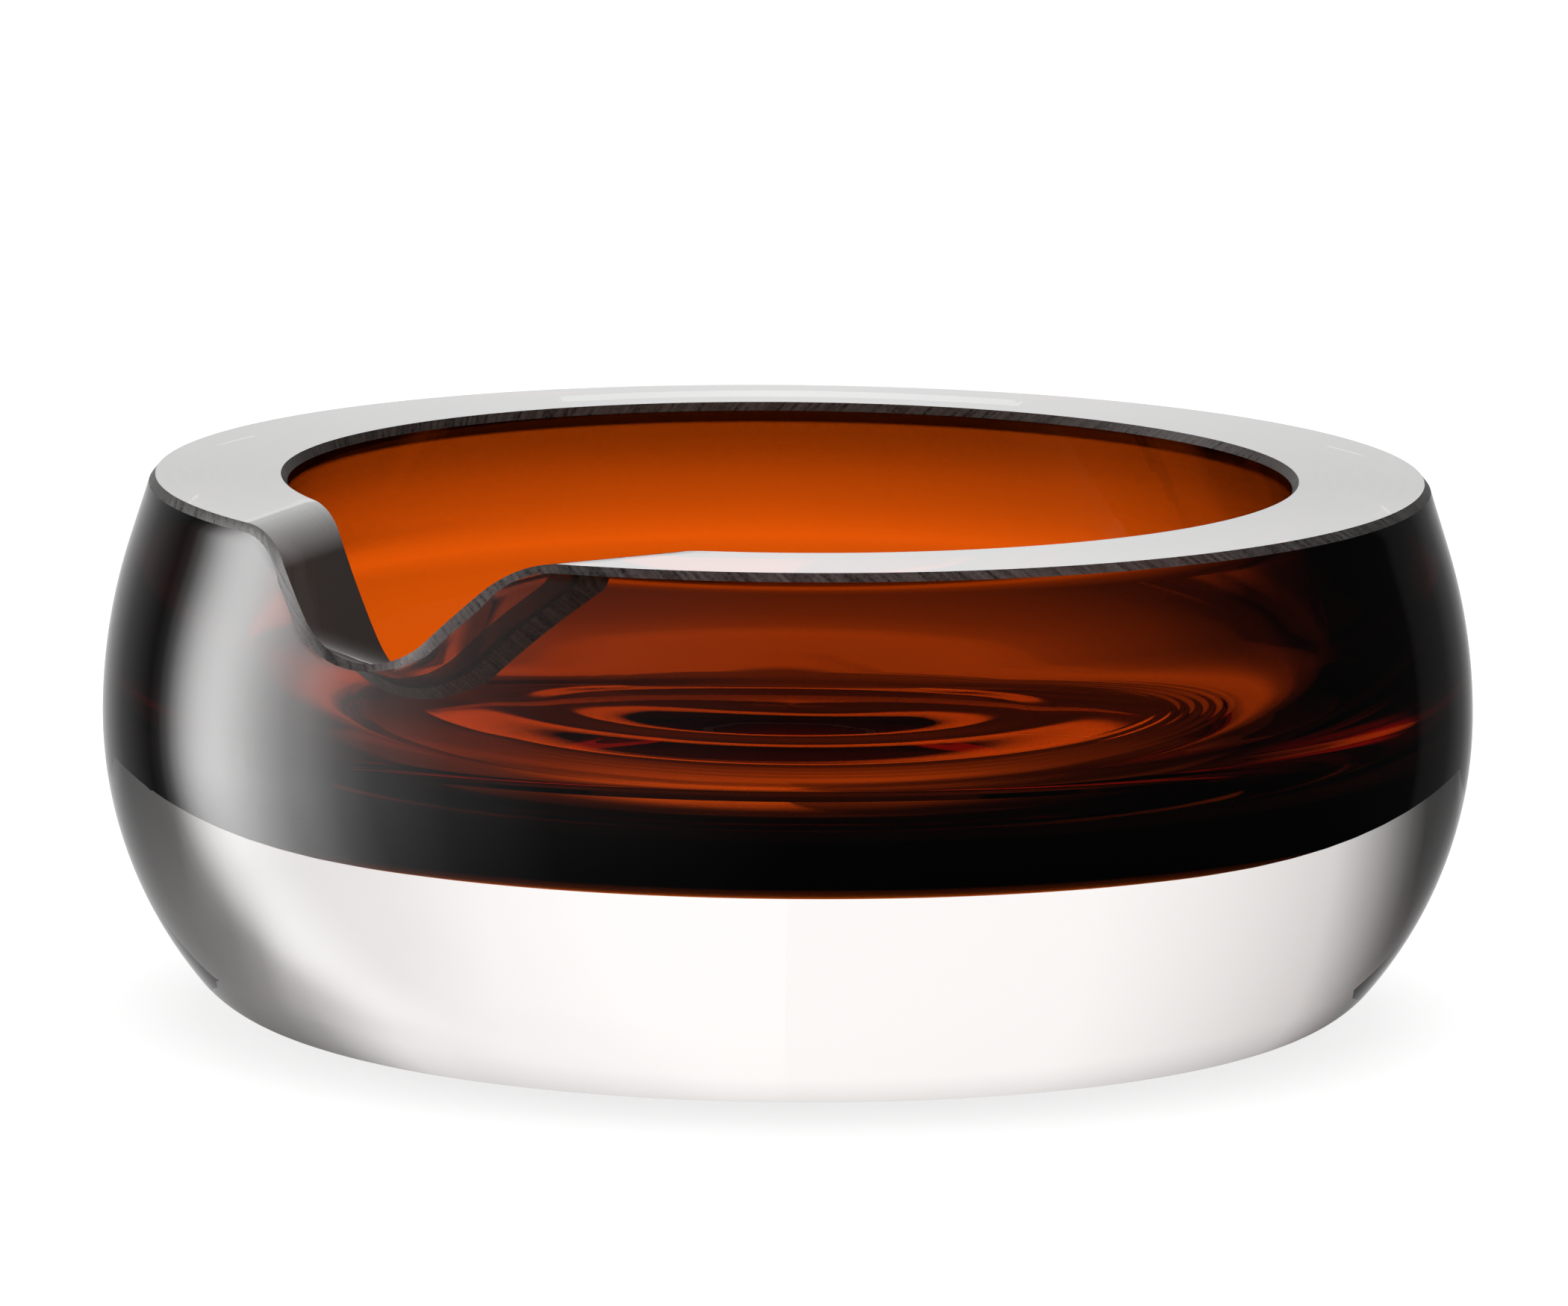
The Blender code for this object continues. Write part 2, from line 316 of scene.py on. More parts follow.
# Camera of the photograph
IMAGE_WIDTH = 2100
FOCAL_PIXELS = 20882.0
SENSOR_WIDTH = 36.0
CAMERA_DISTANCE = 1821.0 * MM
CAMERA_ELEVATION = math.radians(9.168)
CAMERA_ROLL = math.radians(0.526)
CAMERA_AIM = Vector((-0.505 * MM, 0.0, 41.876 * MM))
CLIP_START = 0.05
CLIP_END = 200.0


def arc_bulge(rise, drop):
    return (rise * rise + drop * drop) / (2 * drop)


HOLLOW_HEIGHT = FLOOR_HEIGHT + HOLLOW_CORNER
FLOOR_RADIUS = HOLLOW_RADIUS - HOLLOW_CORNER
HOLLOW_UPPER_ARC = (HOLLOW_LAND_START - HOLLOW_HEIGHT) / math.sin(HOLLOW_LEAN)
SEAM_HEIGHT = SEAM_BOTTOM + SEAM_CORNER_HEIGHT
SEAM_UPPER_ARC = arc_bulge(HEIGHT - SEAM_HEIGHT, SEAM_RADIUS - SEAM_MOUTH_RADIUS)
BASE_EDGE_TURN = math.asin((BELLY_HEIGHT - BASE_EDGE_ARC) / (LOWER_ARC - BASE_EDGE_ARC))
BASE_RADIUS = MAX_RADIUS - LOWER_ARC + (LOWER_ARC - BASE_EDGE_ARC) * math.cos(BASE_EDGE_TURN)
OUTER_BEVEL_ROW = BASE_EDGE_ROWS + LOWER_WALL_ROWS + BELLY_ROWS + UPPER_WALL_ROWS
INNER_BEVEL_ROW = OUTER_BEVEL_ROW + RIM_ROWS + 1
HOLLOW_ROWS = FLOOR_SWELL_ROWS + FLOOR_RING_ROWS + FLOOR_CORNER_ROWS + HOLLOW_WALL_ROWS


def on_arc(radius, arc, height):
    return radius - arc + math.sqrt(arc * arc - height * height)


def outer_radius(z):
    if z <= LAND_START:
        arc = UPPER_ARC if z > BELLY_HEIGHT else LOWER_ARC
        return on_arc(MAX_RADIUS, arc, z - BELLY_HEIGHT)
    lean = math.asin((LAND_START - BELLY_HEIGHT) / UPPER_ARC)
    return on_arc(MAX_RADIUS, UPPER_ARC, LAND_START - BELLY_HEIGHT) - (z - LAND_START) * math.tan(lean)


def hollow_radius(z):
    land = max(0.0, z - HOLLOW_LAND_START)
    arc = HOLLOW_UPPER_ARC if z > HOLLOW_HEIGHT else HOLLOW_CORNER
    return on_arc(HOLLOW_RADIUS, arc, z - land - HOLLOW_HEIGHT) - land * math.tan(HOLLOW_LEAN)


def seam_radius(z):
    if z > SEAM_HEIGHT:
        return on_arc(SEAM_RADIUS, SEAM_UPPER_ARC, z - SEAM_HEIGHT)
    reach = math.sqrt(1 - ((SEAM_HEIGHT - z) / SEAM_CORNER_HEIGHT) ** 2)
    return SEAM_FLAT_RADIUS + (SEAM_RADIUS - SEAM_FLAT_RADIUS) * reach


def notch_depth(across, along):
    if along <= 0:
        return 0.0
    deepest = NOTCH_DEPTH + (NOTCH_DEPTH_RADIUS - along) * math.tan(NOTCH_SLOPE)
    side = abs(across)
    turned = 1 - math.cos(NOTCH_FLANK)
    bottom_end = NOTCH_BOTTOM_ARC * math.sin(NOTCH_FLANK)
    flank_run = (deepest - (NOTCH_BOTTOM_ARC + NOTCH_SHOULDER_ARC) * turned) / math.tan(NOTCH_FLANK)
    shoulder_start = bottom_end + flank_run
    shoulder_end = shoulder_start + NOTCH_SHOULDER_ARC * math.sin(NOTCH_FLANK)
    if side < bottom_end:
        return deepest - NOTCH_BOTTOM_ARC + math.sqrt(NOTCH_BOTTOM_ARC**2 - side**2)
    if side < shoulder_start:
        return deepest - NOTCH_BOTTOM_ARC * turned - (side - bottom_end) * math.tan(NOTCH_FLANK)
    if side < shoulder_end:
        return NOTCH_SHOULDER_ARC - math.sqrt(NOTCH_SHOULDER_ARC**2 - (shoulder_end - side) ** 2)
    return 0.0


def top_height(radius, turn):
    return HEIGHT - notch_depth(radius * math.sin(turn), radius * math.cos(turn))


def wall_top(radius_at, turn):
    low = CUT_FLOOR
    high = HEIGHT
    for _ in range(WALL_TOP_HALVINGS):
        middle = (low + high) / 2
        if middle < top_height(radius_at(middle), turn):
            low = middle
        else:
            high = middle
    return high


def bevel_drop(radius, turn):
    rise = top_height(radius, turn + SLOPE_STEP) - top_height(radius, turn - SLOPE_STEP)
    return BEVEL_DOWN * (1 + (rise / (2 * SLOPE_STEP * radius)) ** 2)


def spread(first, last, steps):
    return [first + (last - first) * i / steps for i in range(steps + 1)]


def upright_rows(radius_at, first, last, rows):
    return [(radius_at(z), z) for z in spread(first, last, rows)]


def top_rows(first, last, turn, rows):
    return [(radius, top_height(radius, turn)) for radius in spread(first, last, rows)]


def base_edge():
    edge = [
        (BASE_RADIUS + BASE_EDGE_ARC * math.cos(t), BASE_EDGE_ARC - BASE_EDGE_ARC * math.sin(t))
        for t in spread(math.pi / 2, BASE_EDGE_TURN, BASE_EDGE_ROWS)
    ]
    lower = [
        (MAX_RADIUS - LOWER_ARC + LOWER_ARC * math.cos(t), BELLY_HEIGHT - LOWER_ARC * math.sin(t))
        for t in spread(BASE_EDGE_TURN, 0, LOWER_WALL_ROWS)
    ]
    return edge + lower[1:]


def corner_point(turn):
    return FLOOR_RADIUS + HOLLOW_CORNER * math.cos(turn), HOLLOW_HEIGHT + HOLLOW_CORNER * math.sin(turn)


def floor_corner():
    """Rounded corner between the rippled floor and the wall of the hollow."""
    first = -math.acos((RIPPLE_EDGE - FLOOR_RADIUS) / HOLLOW_CORNER)
    last = math.asin((CUT_FLOOR - HOLLOW_HEIGHT) / HOLLOW_CORNER)
    return [corner_point(turn) for turn in spread(first, last, FLOOR_CORNER_ROWS)]


def floor_height(radius):
    past = max(0.0, radius - FLOOR_RADIUS)
    return HOLLOW_HEIGHT - math.sqrt(HOLLOW_CORNER**2 - past**2)


def smooth(value):
    share = min(1.0, max(0.0, value))
    return share * share * (3 - 2 * share)


def floor_swell(radius):
    """Height of the swells at a radius, from the outer end of the slopes inwards."""
    height = 0.0
    for (first, start), (last, end) in zip(FLOOR_SLOPES, FLOOR_SLOPES[1:]):
        near = min(max(radius / MM, first), last)
        here = start + (end - start) * (near - first) / (last - first)
        height -= math.radians((here + end) / 2) * (last - near) * MM
    return height


def floor_ripple(radius, turn):
    """Swells and rings that the blowing left, which wander in and out round the floor."""
    wander = sum(share * math.sin(count * turn + phase) for count, share, phase in DRIFT_WAVES)
    drift = DRIFT * wander * min(1.0, radius / DRIFT_FULL_RADIUS)
    swell = floor_swell(radius + drift) * (SWELL_EVEN + SWELL_UNEVEN * math.cos(turn - SWELL_HIGH_TURN))
    to_the_right = max(0.0, math.cos(turn - RING_RIGHT_TURN)) ** RING_RIGHT_FOCUS
    tall = RING_HEIGHT + RING_RIGHT_HEIGHT * to_the_right
    rings = tall * math.sin(2 * math.pi * (radius + 2 * drift) / RING_PITCH)
    rings *= smooth((radius - RING_START) / (RING_FULL - RING_START))
    return (swell + rings) * min(1.0, (RIPPLE_EDGE - radius) / RING_FADE)


def rippled_floor(turn):
    radii = spread(RIPPLE_EDGE, RING_START, FLOOR_RING_ROWS)
    radii += spread(RING_START, FLOOR_CENTRE, FLOOR_SWELL_ROWS)[1:]
    return [(radius, floor_height(radius) + floor_ripple(radius, turn)) for radius in radii]


def seam_corner():
    first = math.asin((SEAM_HEIGHT - SEAM_CUT_FLOOR) / SEAM_CORNER_HEIGHT)
    return [
        (
            SEAM_FLAT_RADIUS + (SEAM_RADIUS - SEAM_FLAT_RADIUS) * math.cos(t),
            SEAM_HEIGHT - SEAM_CORNER_HEIGHT * math.sin(t),
        )
        for t in spread(first, math.pi / 2, SEAM_CORNER_ROWS)
    ]


def bevel_feet(turn):
    lip = wall_top(outer_radius, turn)
    outer_foot = lip - bevel_drop(outer_radius(lip), turn)
    lip = wall_top(hollow_radius, turn)
    inner_foot = lip - bevel_drop(hollow_radius(lip), turn)
    return outer_foot, inner_foot


def glass_section(turn):
    """The whole of the glass: base, outer wall, rim, hollow."""
    outer_foot, inner_foot = bevel_feet(turn)
    section = base_edge()
    section += [(outer_radius(z), z) for z in spread(BELLY_HEIGHT, CUT_FLOOR, BELLY_ROWS)[1:]]
    section += upright_rows(outer_radius, CUT_FLOOR, outer_foot, UPPER_WALL_ROWS)[1:]
    rim_outer = outer_radius(outer_foot) - BEVEL_ACROSS
    rim_inner = hollow_radius(inner_foot) + BEVEL_ACROSS
    section += top_rows(rim_outer, rim_inner, turn, RIM_ROWS)
    section += upright_rows(hollow_radius, inner_foot, CUT_FLOOR, HOLLOW_WALL_ROWS)
    return section + floor_corner()[-2::-1] + rippled_floor(turn)[1:]


def amber_section(turn):
    """The amber cup, a hair inside the surface of the hollow and the rim."""
    _, inner_foot = bevel_feet(turn)
    seam_top = wall_top(seam_radius, turn)
    section = [(r, z - SKIN) for r, z in rippled_floor(turn)[::-1]]
    section += [(r + CORNER_SKIN, z - CORNER_SKIN) for r, z in floor_corner()[1:-1]]
    wall = upright_rows(hollow_radius, CUT_FLOOR, inner_foot, HOLLOW_WALL_ROWS)
    section += [(r + SKIN, z) for r, z in wall]
    rim_inner = hollow_radius(inner_foot) + BEVEL_ACROSS
    rim = top_rows(rim_inner, seam_radius(seam_top), turn, CUP_RIM_ROWS)
    section += [(r, z - SKIN) for r, z in rim]
    section += upright_rows(seam_radius, seam_top - SKIN, SEAM_CUT_FLOOR, SEAM_WALL_ROWS)[1:]
    return section + seam_corner()[1:]


def section_turns():
    """Turns of the columns, measured from the notch, which needs finer ones."""
    across_notch = spread(-NOTCH_REACH, NOTCH_REACH, NOTCH_COLUMNS)
    round_the_rest = spread(NOTCH_REACH, 2 * math.pi - NOTCH_REACH, PLAIN_COLUMNS)
    return across_notch + round_the_rest[1:-1]


def glass_slot(row):
    """Index of a row's material in the glass: clear glass, outer bevel, inner bevel or rim."""
    if row == OUTER_BEVEL_ROW:
        return 1
    if row == INNER_BEVEL_ROW:
        return 2
    return 3 if OUTER_BEVEL_ROW < row < INNER_BEVEL_ROW else 0


def glass_side(row):
    return SEAM_SIDE


def amber_slot(row):
    return 0


def amber_side(row):
    if row < HOLLOW_ROWS:
        return HOLLOW_SIDE
    return RIM_SIDE if row <= HOLLOW_ROWS + CUP_RIM_ROWS else SEAM_SIDE


def loft_round_axis(name, section_at, materials, slot_of_row, side_of_row):
    """Closed body from one section per column round the axis; side_of_row is kept as a face attribute."""
    shape = bmesh.new()
    side = shape.faces.layers.float.new(SIDE)
    columns = []
    for turn in section_turns():
        azimuth = NOTCH_AZIMUTH + turn
        across = math.cos(azimuth)
        along = math.sin(azimuth)
        columns.append([shape.verts.new((r * across, r * along, z)) for r, z in section_at(turn)])
    last = len(columns[0]) - 1
    for left, right in zip(columns, columns[1:] + columns[:1]):
        for row in range(last):
            face = shape.faces.new((left[row], right[row], right[row + 1], left[row + 1]))
            face.material_index = slot_of_row(row)
            face[side] = side_of_row(row)
    for row in (0, last):
        cap = shape.faces.new([column[row] for column in columns])
        cap[side] = side_of_row(min(row, last - 1))
    bmesh.ops.recalc_face_normals(shape, faces=shape.faces)
    mesh = bpy.data.meshes.new(name)
    shape.to_mesh(mesh)
    shape.free()
    for material in materials:
        mesh.materials.append(material)
    mesh.shade_smooth()
    mesh.set_sharp_from_angle(angle=SHARP_ANGLE)
    solid = bpy.data.objects.new(name, mesh)
    bpy.context.collection.objects.link(solid)
    return solid


def outer_tilt(z):
    """How far the outer wall near the base faces down."""
    if z < BASE_EDGE_ARC * (1 - math.sin(BASE_EDGE_TURN)):
        return math.asin(min(1.0, 1 - z / BASE_EDGE_ARC))
    return math.asin((BELLY_HEIGHT - z) / LOWER_ARC)


def ease_base_edge(mesh):
    """Shades the rolled edge of the base as if it turned under less, so that it stays light."""
    normals = [Vector((0.0, 0.0, 0.0)) for _ in mesh.loops]
    room = EASE_LIMIT - EASE_START
    for face in mesh.polygons:
        if face.center.z > EASE_HEIGHT:
            continue
        is_flat_base = len(face.vertices) > 4
        for index in face.loop_indices:
            point = mesh.vertices[mesh.loops[index].vertex_index].co
            if is_flat_base:
                normals[index] = Vector((0.0, 0.0, -1.0))
                continue
            past = outer_tilt(max(0.0, point.z)) - EASE_START
            if past > 0:
                tilt = EASE_START + room * (1 - math.exp(-past / room))
                outward = Vector((point.x, point.y, 0.0)).normalized()
                normals[index] = outward * math.cos(tilt) - Vector((0.0, 0.0, math.sin(tilt)))
    mesh.normals_split_custom_set(normals)


def new_material(name):
    material = bpy.data.materials.new(name)
    material.use_nodes = True
    tree = material.node_tree
    return material, tree, tree.nodes["Principled BSDF"]


def math_node(tree, operation, first, second=None):
    node = tree.nodes.new("ShaderNodeMath")
    node.operation = operation
    for socket, value in zip(node.inputs, (first, second)):
        if value is None:
            continue
        if isinstance(value, (int, float)):
            socket.default_value = value
        else:
            tree.links.new(value, socket)
    return node.outputs[0]


def ramp(tree, value, stops):
    """Piecewise linear function of a value, from (place, result) pairs."""
    node = tree.nodes.new("ShaderNodeFloatCurve")
    low, high = stops[0][0], stops[-1][0]
    top = max(result for _, result in stops)
    scaled = math_node(tree, "MULTIPLY", math_node(tree, "SUBTRACT", value, low), 1 / (high - low))
    tree.links.new(scaled, node.inputs["Value"])
    curve = node.mapping.curves[0]
    while len(curve.points) < len(stops):
        curve.points.new(0.5, 0.5)
    for point, (place, result) in zip(curve.points, stops):
        point.location = ((place - low) / (high - low), result / top)
        point.handle_type = "VECTOR"
    node.mapping.use_clip = False
    node.mapping.extend = "HORIZONTAL"
    node.mapping.update()
    return math_node(tree, "MULTIPLY", node.outputs[0], top)


def mix_numbers(tree, share, first, second):
    node = tree.nodes.new("ShaderNodeMix")
    for name, value in (("Factor", share), ("A", first), ("B", second)):
        if isinstance(value, (int, float)):
            node.inputs[name].default_value = value
        else:
            tree.links.new(value, node.inputs[name])
    return node.outputs["Result"]


def mix_colours(tree, share, first, second):
    node = tree.nodes.new("ShaderNodeMix")
    node.data_type = "RGBA"
    inputs = [socket for socket in node.inputs if socket.enabled]
    for socket, value in zip(inputs, (share, first, second)):
        if isinstance(value, (int, float)):
            socket.default_value = value
        elif isinstance(value, tuple):
            socket.default_value = (*value, 1.0)
        else:
            tree.links.new(value, socket)
    return next(socket for socket in node.outputs if socket.enabled)


def object_place(tree):
    place = tree.nodes.new("ShaderNodeTexCoord")
    return place.outputs["Object"]


def noise(tree, place, scale, detail):
    node = tree.nodes.new("ShaderNodeTexNoise")
    node.inputs["Scale"].default_value = scale
    node.inputs["Detail"].default_value = detail
    tree.links.new(place, node.inputs["Vector"])
    return node.outputs[0]


def bump(tree, height, distance, strength):
    node = tree.nodes.new("ShaderNodeBump")
    node.inputs["Distance"].default_value = distance
    node.inputs["Strength"].default_value = strength
    tree.links.new(height, node.inputs["Height"])
    return node.outputs[0]


def round_the_axis(tree):
    """Place on the bowl in millimetres: round its axis, away from it, and upwards."""
    parts = tree.nodes.new("ShaderNodeSeparateXYZ")
    tree.links.new(object_place(tree), parts.inputs[0])
    across, along, up = parts.outputs
    around = math_node(tree, "MULTIPLY", math_node(tree, "ARCTAN2", along, across), MAX_RADIUS / MM)
    squares = math_node(tree, "MULTIPLY", across, across)
    squares = math_node(tree, "ADD", squares, math_node(tree, "MULTIPLY", along, along))
    away = math_node(tree, "MULTIPLY", math_node(tree, "SQRT", squares), 1 / MM)
    return around, away, math_node(tree, "MULTIPLY", up, 1 / MM)


def stretched_noise(tree, first, second, detail):
    """Noise on two coordinates that have their own scales."""
    place = tree.nodes.new("ShaderNodeCombineXYZ")
    tree.links.new(first, place.inputs[0])
    tree.links.new(second, place.inputs[1])
    return noise(tree, place.outputs[0], 1.0, detail)


def clear_glass():
    """Colourless glass with a breath of warmth and the slow waves of a blown surface."""
    material, tree, shader = new_material("clear_glass")
    place = object_place(tree)
    cloud = noise(tree, place, CLOUD_SCALE, CLOUD_DETAIL)
    tree.links.new(mix_colours(tree, cloud, CLEAR_COOL, CLEAR_WARM), shader.inputs["Base Color"])
    shader.inputs["Roughness"].default_value = 0.0
    shader.inputs["IOR"].default_value = GLASS_IOR
    shader.inputs["Transmission Weight"].default_value = 1.0
    waves = noise(tree, place, WAVE_SCALE, 0.0)
    tree.links.new(bump(tree, waves, WAVE_DEPTH, 1.0), shader.inputs["Normal"])
    return material


def polished_rim():
    """Flat cut top: polished, with the fine rings of the polishing wheel, a little haze, and painted shade in
    the notch.
    """
    material, tree, shader = new_material("polished_rim")
    around, away, up = round_the_axis(tree)
    rings = stretched_noise(
        tree,
        math_node(tree, "MULTIPLY", around, RIM_RING_AROUND),
        math_node(tree, "MULTIPLY", away, RIM_RING_AWAY),
        RIM_RING_DETAIL,
    )
    haze = mix_colours(tree, rings, RIM_HAZE_DARK, RIM_HAZE_LIGHT)
    flat = ramp(tree, up, RIM_FLAT)
    # painted shade in the notch, the haze on the flat top
    tree.links.new(mix_colours(tree, flat, NOTCH_PAINTED_SHADE, haze), shader.inputs["Base Color"])
    tree.links.new(mix_numbers(tree, rings, *RIM_ROUGHNESS), shader.inputs["Roughness"])
    shader.inputs["IOR"].default_value = GLASS_IOR
    shader.inputs["Transmission Weight"].default_value = RIM_TRANSMISSION
    tree.links.new(bump(tree, rings, RIM_RING_DEPTH, 1.0), shader.inputs["Normal"])
    return material


def ground_glass(name, dark, light):
    """Bevel left from the grinding: matt, with slanted scratches, and dark with painted shade."""
    material, tree, shader = new_material(name)
    around, away, up = round_the_axis(tree)
    slant = math_node(tree, "ADD", around, math_node(tree, "MULTIPLY", up, SCRATCH_SLANT))
    scratches = stretched_noise(
        tree,
        math_node(tree, "MULTIPLY", slant, SCRATCH_PITCH),
        math_node(tree, "MULTIPLY", away, SCRATCH_AWAY),
        SCRATCH_DETAIL,
    )
    grit = noise(tree, object_place(tree), GRIT_SCALE, GRIT_DETAIL)
    wear = ramp(tree, mix_numbers(tree, GRIT_SHARE, scratches, grit), WEAR)
    shader.inputs["IOR"].default_value = GLASS_IOR
    shader.inputs["Transmission Weight"].default_value = BEVEL_TRANSMISSION
    tree.links.new(mix_colours(tree, wear, dark, light), shader.inputs["Base Color"])
    tree.links.new(mix_numbers(tree, wear, *BEVEL_ROUGHNESS), shader.inputs["Roughness"])
    tree.links.new(bump(tree, wear, SCRATCH_DEPTH, SCRATCH_STRENGTH), shader.inputs["Normal"])
    return material


def amber_glass():
    """Amber tint where light goes in from the hollow or out at the seam; going in at the seam it takes the
    seam tint.

    Going in from the hollow and at the seam, the tint carries painted shade by height, and at the foot of the
    seam a painted band of light.
    """
    material, tree, shader = new_material("amber_glass")
    shader.inputs["Roughness"].default_value = 0.0
    shader.inputs["IOR"].default_value = 1.0
    shader.inputs["Transmission Weight"].default_value = 1.0
    parts = tree.nodes.new("ShaderNodeSeparateXYZ")
    tree.links.new(object_place(tree), parts.inputs[0])
    height = math_node(tree, "MULTIPLY", parts.outputs[2], 1 / MM)
    # painted shade of the amber seen from the hollow, by height
    lip = mix_colours(tree, ramp(tree, height, HOLLOW_PAINTED_SHADE), BLACK, AMBER)
    # painted shade of the seam tint, by height
    foot = mix_colours(tree, ramp(tree, height, SEAM_PAINTED_SHADE), BLACK, SEAM_TINT)
    # painted light in a thin band at the foot of the seam
    fringe = mix_colours(tree, ramp(tree, height, SEAM_FRINGE), foot, FRINGE_PAINTED_LIGHT)
    below = mix_colours(tree, ramp(tree, height, SEAM_UNDERSIDE), fringe, UNDERSIDE_TINT)
    side = tree.nodes.new("ShaderNodeAttribute")
    side.attribute_name = SIDE
    is_hollow = math_node(tree, "GREATER_THAN", side.outputs["Fac"], (RIM_SIDE + HOLLOW_SIDE) / 2)
    is_seam = math_node(tree, "LESS_THAN", side.outputs["Fac"], (SEAM_SIDE + RIM_SIDE) / 2)
    going_in = mix_colours(tree, is_seam, mix_colours(tree, is_hollow, RIM_TINT, lip), below)
    coming_out = mix_colours(tree, is_seam, WHITE, AMBER)
    way = tree.nodes.new("ShaderNodeNewGeometry")
    colour = mix_colours(tree, way.outputs["Backfacing"], going_in, coming_out)
    tree.links.new(colour, shader.inputs["Base Color"])
    absorb = tree.nodes.new("ShaderNodeVolumeAbsorption")
    absorb.inputs["Color"].default_value = (*ABSORB_COLOUR, 1.0)
    absorb.inputs["Density"].default_value = ABSORB_DENSITY
    tree.links.new(absorb.outputs[0], tree.nodes["Material Output"].inputs["Volume"])
    return material


def direction(tree):
    """Compass angle (0 behind the bowl, 90 to its right) and elevation of a world direction, in degrees."""
    place = tree.nodes.new("ShaderNodeTexCoord")
    parts = tree.nodes.new("ShaderNodeSeparateXYZ")
    tree.links.new(place.outputs["Generated"], parts.inputs[0])
    turn = math_node(tree, "ARCTAN2", parts.outputs[0], parts.outputs[1])
    rise = math_node(tree, "ARCSINE", parts.outputs[2])
    return [math_node(tree, "MULTIPLY", value, 180 / math.pi) for value in (turn, rise)]


def is_amber(tree, path):
    """Whether light has crossed the amber: two faces of the clear glass and one or more of the cup."""
    return math_node(tree, "GREATER_THAN", path.outputs["Transmission Depth"], AMBER_CROSSINGS)


def seen_through(tree, path, angle, rise):
    """Studio as the glass shows it: the backdrop with soft edges, and the pool of light on the table."""

    def blend(stops, first, second):
        return mix_numbers(tree, ramp(tree, rise, stops), first, second)

    low = ramp(tree, angle, BACKDROP_LOW)
    right = blend(LOW_TO_MIDDLE, low, ramp(tree, angle, BACKDROP_MIDDLE))
    right = blend(MIDDLE_TO_HIGH, right, ramp(tree, angle, BACKDROP_HIGH))
    is_right = math_node(tree, "GREATER_THAN", angle, 0.0)
    backdrop = mix_numbers(tree, is_right, ramp(tree, angle, BACKDROP_LEFT), right)
    backdrop = math_node(tree, "MULTIPLY", backdrop, ramp(tree, rise, BACKDROP_FADE))
    backdrop = blend(BACKDROP_TO_CEILING, backdrop, CEILING)
    around = ramp(tree, angle, TABLE_LEVEL)
    around = blend(LEVEL_TO_SHALLOW, around, ramp(tree, angle, TABLE_SHALLOW))
    around = blend(SHALLOW_TO_STEEP, around, ramp(tree, angle, TABLE_STEEP))
    around = blend(STEEP_TO_BELOW, around, ramp(tree, angle, TABLE_BELOW))
    table = math_node(tree, "MULTIPLY", ramp(tree, rise, TABLE_RISE), around)
    open_side = blend(OPEN_SIDES, 1.0, ramp(tree, angle, OPEN_ANGLE))
    open_table = math_node(tree, "MULTIPLY", ramp(tree, rise, OPEN_RISE), open_side)
    one_wall = math_node(tree, "LESS_THAN", path.outputs["Transmission Depth"], TWO_WALL_CROSSINGS)
    through_one = math_node(tree, "MULTIPLY", one_wall, is_amber(tree, path))
    table = mix_numbers(tree, through_one, table, open_table)
    return blend(TABLE_TO_BACKDROP, table, backdrop)


def through_amber(tree, path, level, angle, rise):
    """Light that was turned back inside the amber has come a longer way through it, and is darker for it."""
    turned = math_node(tree, "GREATER_THAN", path.outputs["Glossy Depth"], ANY)
    long_way = math_node(tree, "MULTIPLY", turned, is_amber(tree, path))
    long_way = math_node(tree, "MULTIPLY", long_way, ramp(tree, rise, INNER_RISE))
    long_way = math_node(tree, "MULTIPLY", long_way, ramp(tree, angle, INNER_ANGLE))
    dimmed = mix_numbers(tree, long_way, level, math_node(tree, "MULTIPLY", level, INNER_REFLECTION))
    return mix_numbers(tree, ramp(tree, rise, TO_OVERHEAD), dimmed, OVERHEAD)


def mirrored(tree, angle, rise):
    """Studio as the glass reflects it."""
    sides = math_node(tree, "MULTIPLY", ramp(tree, angle, MIRRORED), ramp(tree, rise, MIRROR_RISE))
    behind = math_node(tree, "MULTIPLY", ramp(tree, angle, RIM_ANGLE), ramp(tree, rise, RIM_RISE))
    return math_node(tree, "MAXIMUM", sides, behind)


def studio_world():
    """Brightness by direction and by the way that light took; the camera itself sees white."""
    world = bpy.data.worlds.new("studio")
    bpy.context.scene.world = world
    world.use_nodes = True
    tree = world.node_tree
    tree.nodes.clear()
    angle, rise = direction(tree)
    path = tree.nodes.new("ShaderNodeLightPath")
    outside = math_node(tree, "LESS_THAN", path.outputs["Transmission Depth"], ANY)
    shine = math_node(tree, "MULTIPLY", mirrored(tree, angle, rise), outside)
    level = mix_numbers(tree, path.outputs["Is Glossy Ray"], AMBIENT, shine)
    through = through_amber(tree, path, seen_through(tree, path, angle, rise), angle, rise)
    level = mix_numbers(tree, path.outputs["Is Transmission Ray"], level, through)
    level = mix_numbers(tree, path.outputs["Is Camera Ray"], level, 1.0)
    light = tree.nodes.new("ShaderNodeBackground")
    light.inputs["Color"].default_value = (*WHITE, 1.0)
    tree.links.new(level, light.inputs["Strength"])
    out = tree.nodes.new("ShaderNodeOutputWorld")
    tree.links.new(light.outputs[0], out.inputs["Surface"])


def floor_material():
    """White paper: pale and matt, with enough glow of its own to read as white, and the bowl's shadow."""
    material, tree, shader = new_material("pale_floor")
    shader.inputs["Base Color"].default_value = (*STAGE_COLOUR, 1.0)
    shader.inputs["Roughness"].default_value = 1.0
    shader.inputs["Specular IOR Level"].default_value = 0.0
    shader.inputs["Emission Color"].default_value = (*WHITE, 1.0)
    shader.inputs["Emission Strength"].default_value = STAGE_GLOW
    return material


